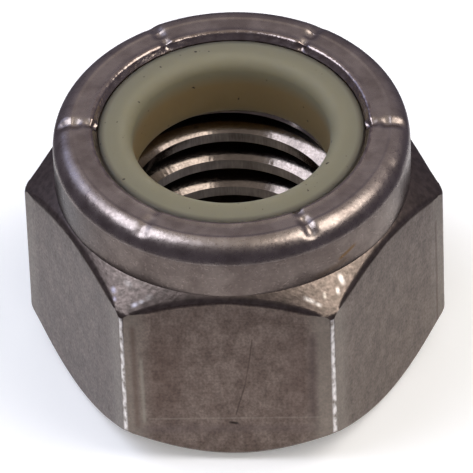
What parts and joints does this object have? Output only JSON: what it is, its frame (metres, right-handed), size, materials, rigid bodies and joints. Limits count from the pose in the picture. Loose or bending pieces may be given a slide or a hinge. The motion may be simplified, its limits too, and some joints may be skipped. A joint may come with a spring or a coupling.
{
  "type": "nylon insert lock nut",
  "caption": "Hexagon lock nut with a rolled collar that traps a nylon ring above its thread, so that it grips a bolt and stays put under vibration.",
  "frame": {"origin": "centre of the bearing face, the flat ring that the nut stands on and presses with", "axes": "+Z along the thread's axis, from the bearing face towards the collar with the nylon ring; two corners of the hexagon lie on +X and -X, and two flats face +Y and -Y"},
  "size_m": [0.0218, 0.019, 0.0151],
  "materials": {
    "stainless_steel": "cold-formed stainless steel, drawn flats, tumbled roll",
    "nylon": "natural nylon, aged to a greyish olive cream, slightly translucent"
  },
  "bodies": {
    "root": {"nut_body": "stainless_steel", "nylon_insert": "nylon"}
  },
  "joints": []
}
